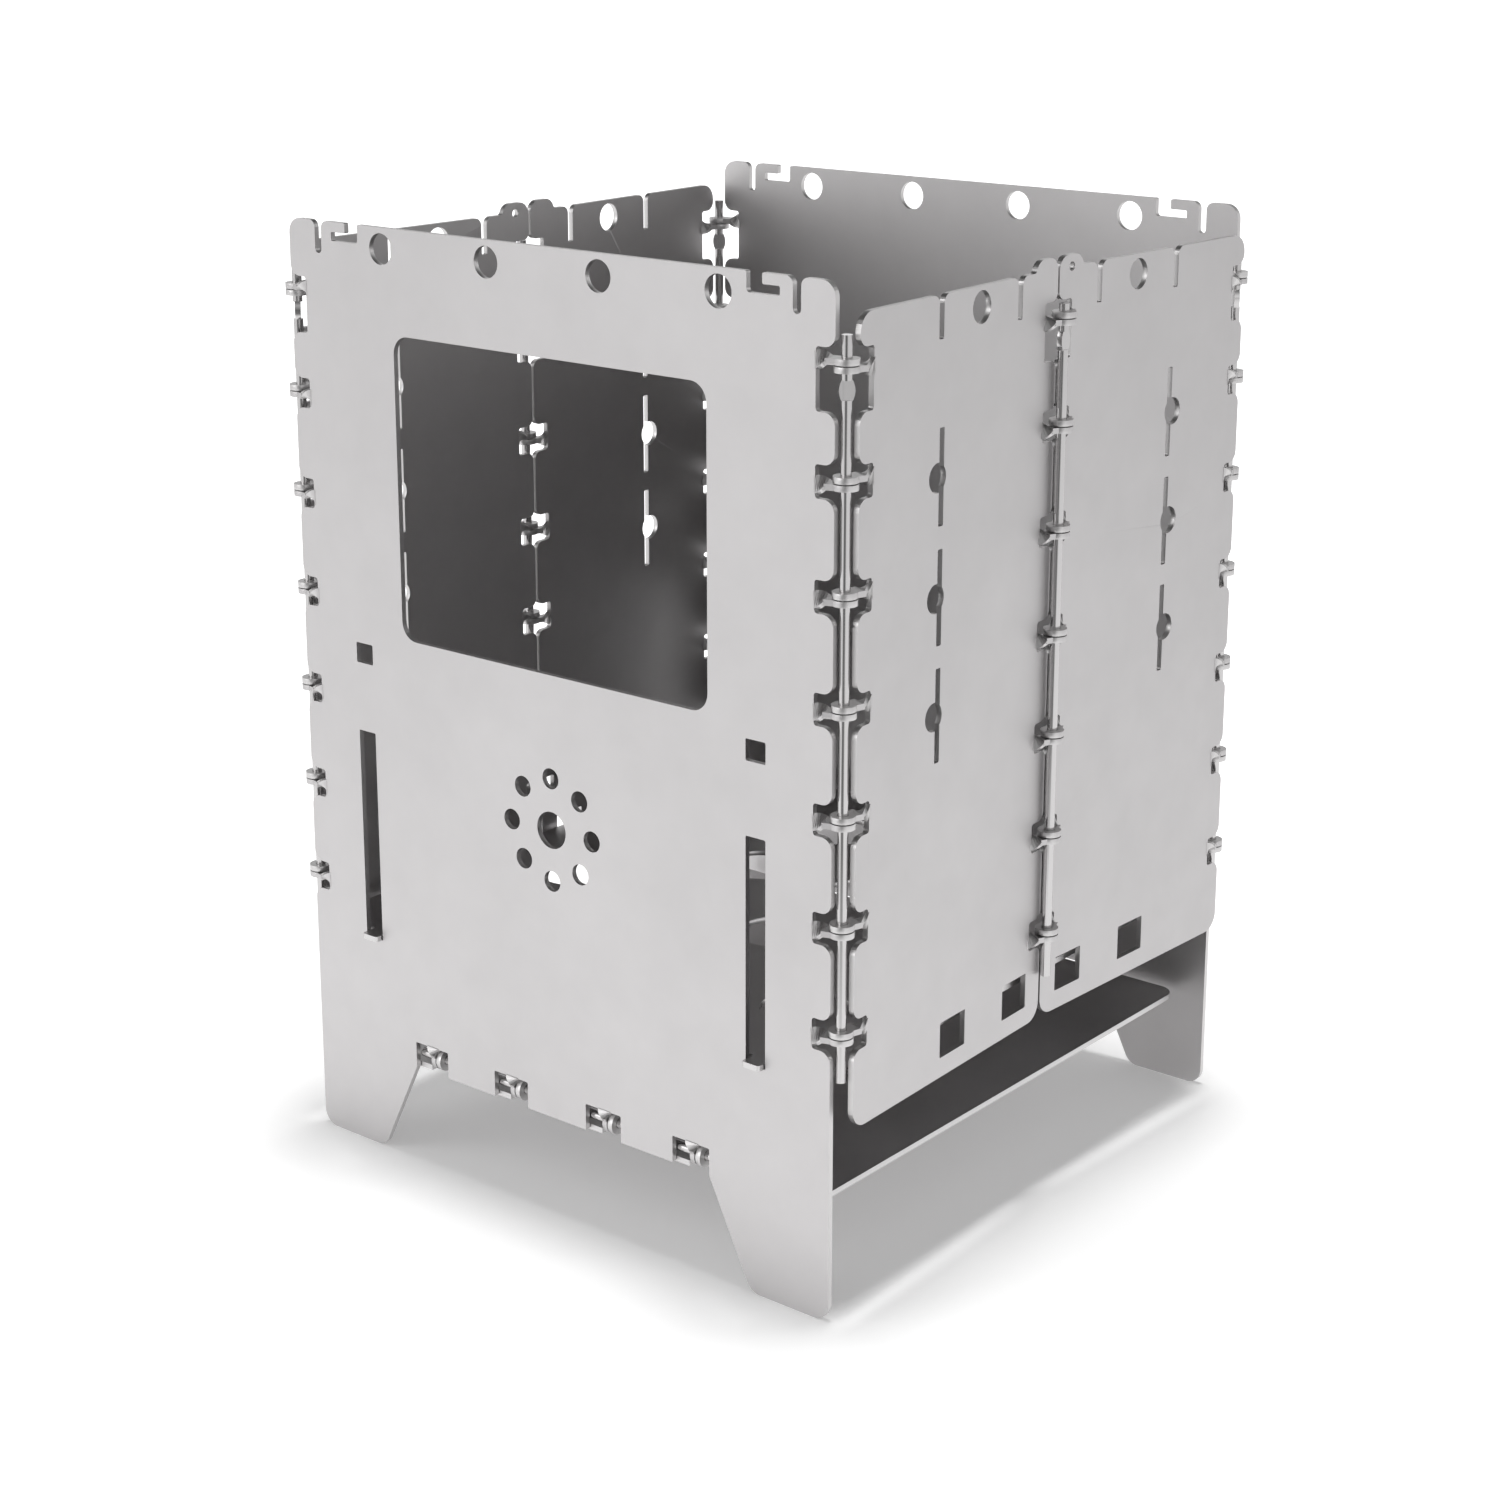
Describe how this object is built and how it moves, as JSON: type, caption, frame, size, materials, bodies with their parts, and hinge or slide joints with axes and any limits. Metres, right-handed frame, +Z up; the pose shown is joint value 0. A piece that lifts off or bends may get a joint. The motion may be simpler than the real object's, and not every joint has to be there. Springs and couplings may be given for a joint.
{
  "type": "twig stove",
  "caption": "Free-standing folding twig stove of satin titanium sheet: a window for feeding wood, hinged sides on wire rods, a swinging base plate and a lift-up grate",
  "frame": {"origin": "middle of the stove's footprint, on the ground", "axes": "+X to the right side seen from the front, +Y to the back panel, +Z up"},
  "size_m": [0.193, 0.1864, 0.26],
  "materials": {
    "sheet": "bead-blasted satin, titanium",
    "grate_sheet": "satin, titanium",
    "wire": "drawn bright wire"
  },
  "bodies": {
    "front": {"front_panel": "sheet", "front_right_rod": "wire", "front_left_rod": "wire", "base_plate_rod": "wire"},
    "right_front": {"right_front_side": "sheet", "right_middle_rod": "wire"},
    "right_rear": {"right_rear_side": "sheet"},
    "back": {"back_panel": "sheet", "rear_right_rod": "wire", "rear_left_rod": "wire"},
    "left_front": {"left_front_side": "sheet", "left_middle_rod": "wire"},
    "left_rear": {"left_rear_side": "sheet"},
    "grate": {"grate": "grate_sheet"},
    "base_plate": {"base_plate": "sheet"}
  },
  "joints": [
    {"name": "grate_lift", "type": "slide", "parent": "front", "child": "grate", "axis": [0, 0, 1], "range_m": [0, 0.058]},
    {"name": "base_plate_swing", "type": "hinge", "parent": "front", "child": "base_plate", "pos_m": [0, -0.0879, 0.0315], "axis": [1, 0, 0], "range_deg": [0, 10]},
    {"name": "side_fold", "type": "hinge", "parent": "front", "child": "right_front", "pos_m": [0.0921, -0.08805, 0.16], "axis": [0, 0, 1], "range_deg": [-4.3, 0]},
    {"name": "right_middle_fold", "type": "hinge", "parent": "right_front", "child": "right_rear", "pos_m": [0.09337, 0, 0.16], "axis": [0, 0, 1], "range_deg": [0, 8.6]},
    {"name": "back_fold", "type": "hinge", "parent": "right_rear", "child": "back", "pos_m": [0.0921, 0.08805, 0.16], "axis": [0, 0, 1], "range_deg": [-4.3, 0]},
    {"name": "left_front_fold", "type": "hinge", "parent": "front", "child": "left_front", "pos_m": [-0.0921, -0.08805, 0.16], "axis": [0, 0, 1], "range_deg": [0, 4.3]},
    {"name": "left_middle_fold", "type": "hinge", "parent": "left_front", "child": "left_rear", "pos_m": [-0.09337, 0, 0.16], "axis": [0, 0, 1], "range_deg": [-8.6, 0]}
  ],
  "couplings": [
    {"joint": "right_middle_fold", "follows": "side_fold", "ratio": -2},
    {"joint": "back_fold", "follows": "side_fold", "ratio": 1},
    {"joint": "left_front_fold", "follows": "side_fold", "ratio": -1},
    {"joint": "left_middle_fold", "follows": "side_fold", "ratio": 2}
  ]
}
